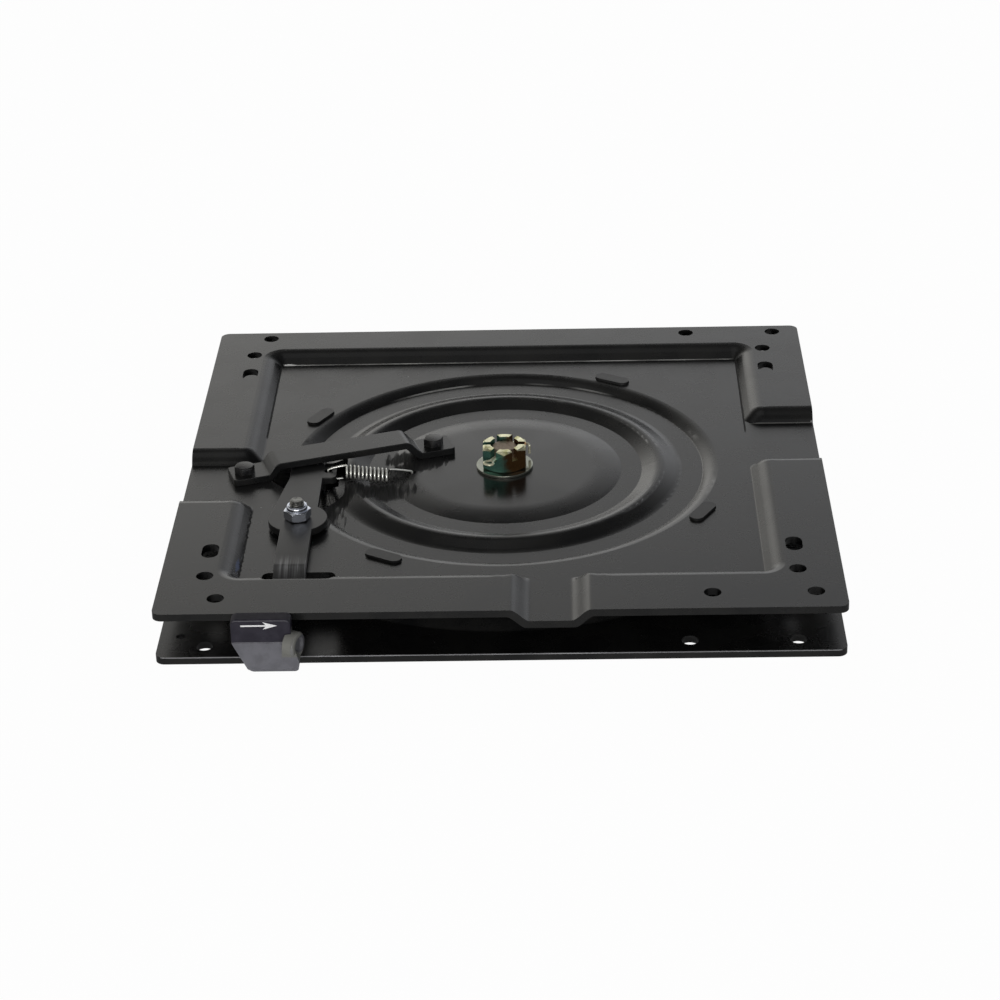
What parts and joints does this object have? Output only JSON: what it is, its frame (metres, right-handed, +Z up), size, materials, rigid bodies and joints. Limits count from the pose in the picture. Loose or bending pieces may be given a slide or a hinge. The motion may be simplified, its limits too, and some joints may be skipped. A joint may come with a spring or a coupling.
{
  "type": "swivel seat base",
  "caption": "Square swivel base for a camper seat: pressed steel turntable plate on a pressed base plate, centre pivot with castle nut, and a sprung latch lever with a finger grip",
  "frame": {"origin": "on the pivot axis, on the underside of the base plate, at the middle of its four fixing holes", "axes": "+Z up along the pivot axis, -Y to the front where the grip is, +X to the right seen from the front"},
  "size_m": [0.355, 0.378, 0.0397],
  "materials": {
    "black_paint": "satin black powder paint on pressed steel",
    "lever_paint": "satin black paint, a little worn along the edges",
    "black_bolt": "black finished steel fastener",
    "yellow_zinc": "yellow passivated zinc plating with coloured sheen",
    "bright_zinc": "bright zinc plating",
    "spring_wire": "plated spring wire",
    "slide_plastic": "low-friction plastic",
    "bronze": "plain bearing bronze",
    "pad_plastic": "black glide plastic",
    "grip_plastic": "fine textured charcoal moulding with a white arrow"
  },
  "bodies": {
    "base": {"base_plate": "black_paint", "pivot_bolt": "yellow_zinc", "thrust_ring": "slide_plastic", "pivot_washer": "bright_zinc", "castle_nut": "yellow_zinc", "split_pin": "bright_zinc"},
    "turntable": {"top_plate": "black_paint", "pivot_bush": "bronze", "glide_pad_1": "pad_plastic", "glide_pad_2": "pad_plastic", "glide_pad_3": "pad_plastic", "glide_pad_4": "pad_plastic", "keeper_strap": "black_paint", "strap_bolt_1": "black_bolt", "strap_bolt_2": "black_bolt", "lever_bolt": "bright_zinc", "lever_nut": "bright_zinc", "lever_spacer": "bright_zinc", "return_spring": "spring_wire"},
    "lever": {"latch_lever": "lever_paint", "grip": "grip_plastic"}
  },
  "joints": [
    {"name": "swivel", "type": "hinge", "parent": "base", "child": "turntable", "pos_m": [0, 0, 0], "axis": [0, 0, 1], "range_deg": [-180, 180]},
    {"name": "latch", "type": "hinge", "parent": "turntable", "child": "lever", "pos_m": [-0.111, -0.073, 0], "axis": [0, 0, 1], "range_deg": [-4, 5], "stiffness_Nm_per_rad": 2, "springref_deg": -3.95, "deforming": ["return_spring"]}
  ]
}
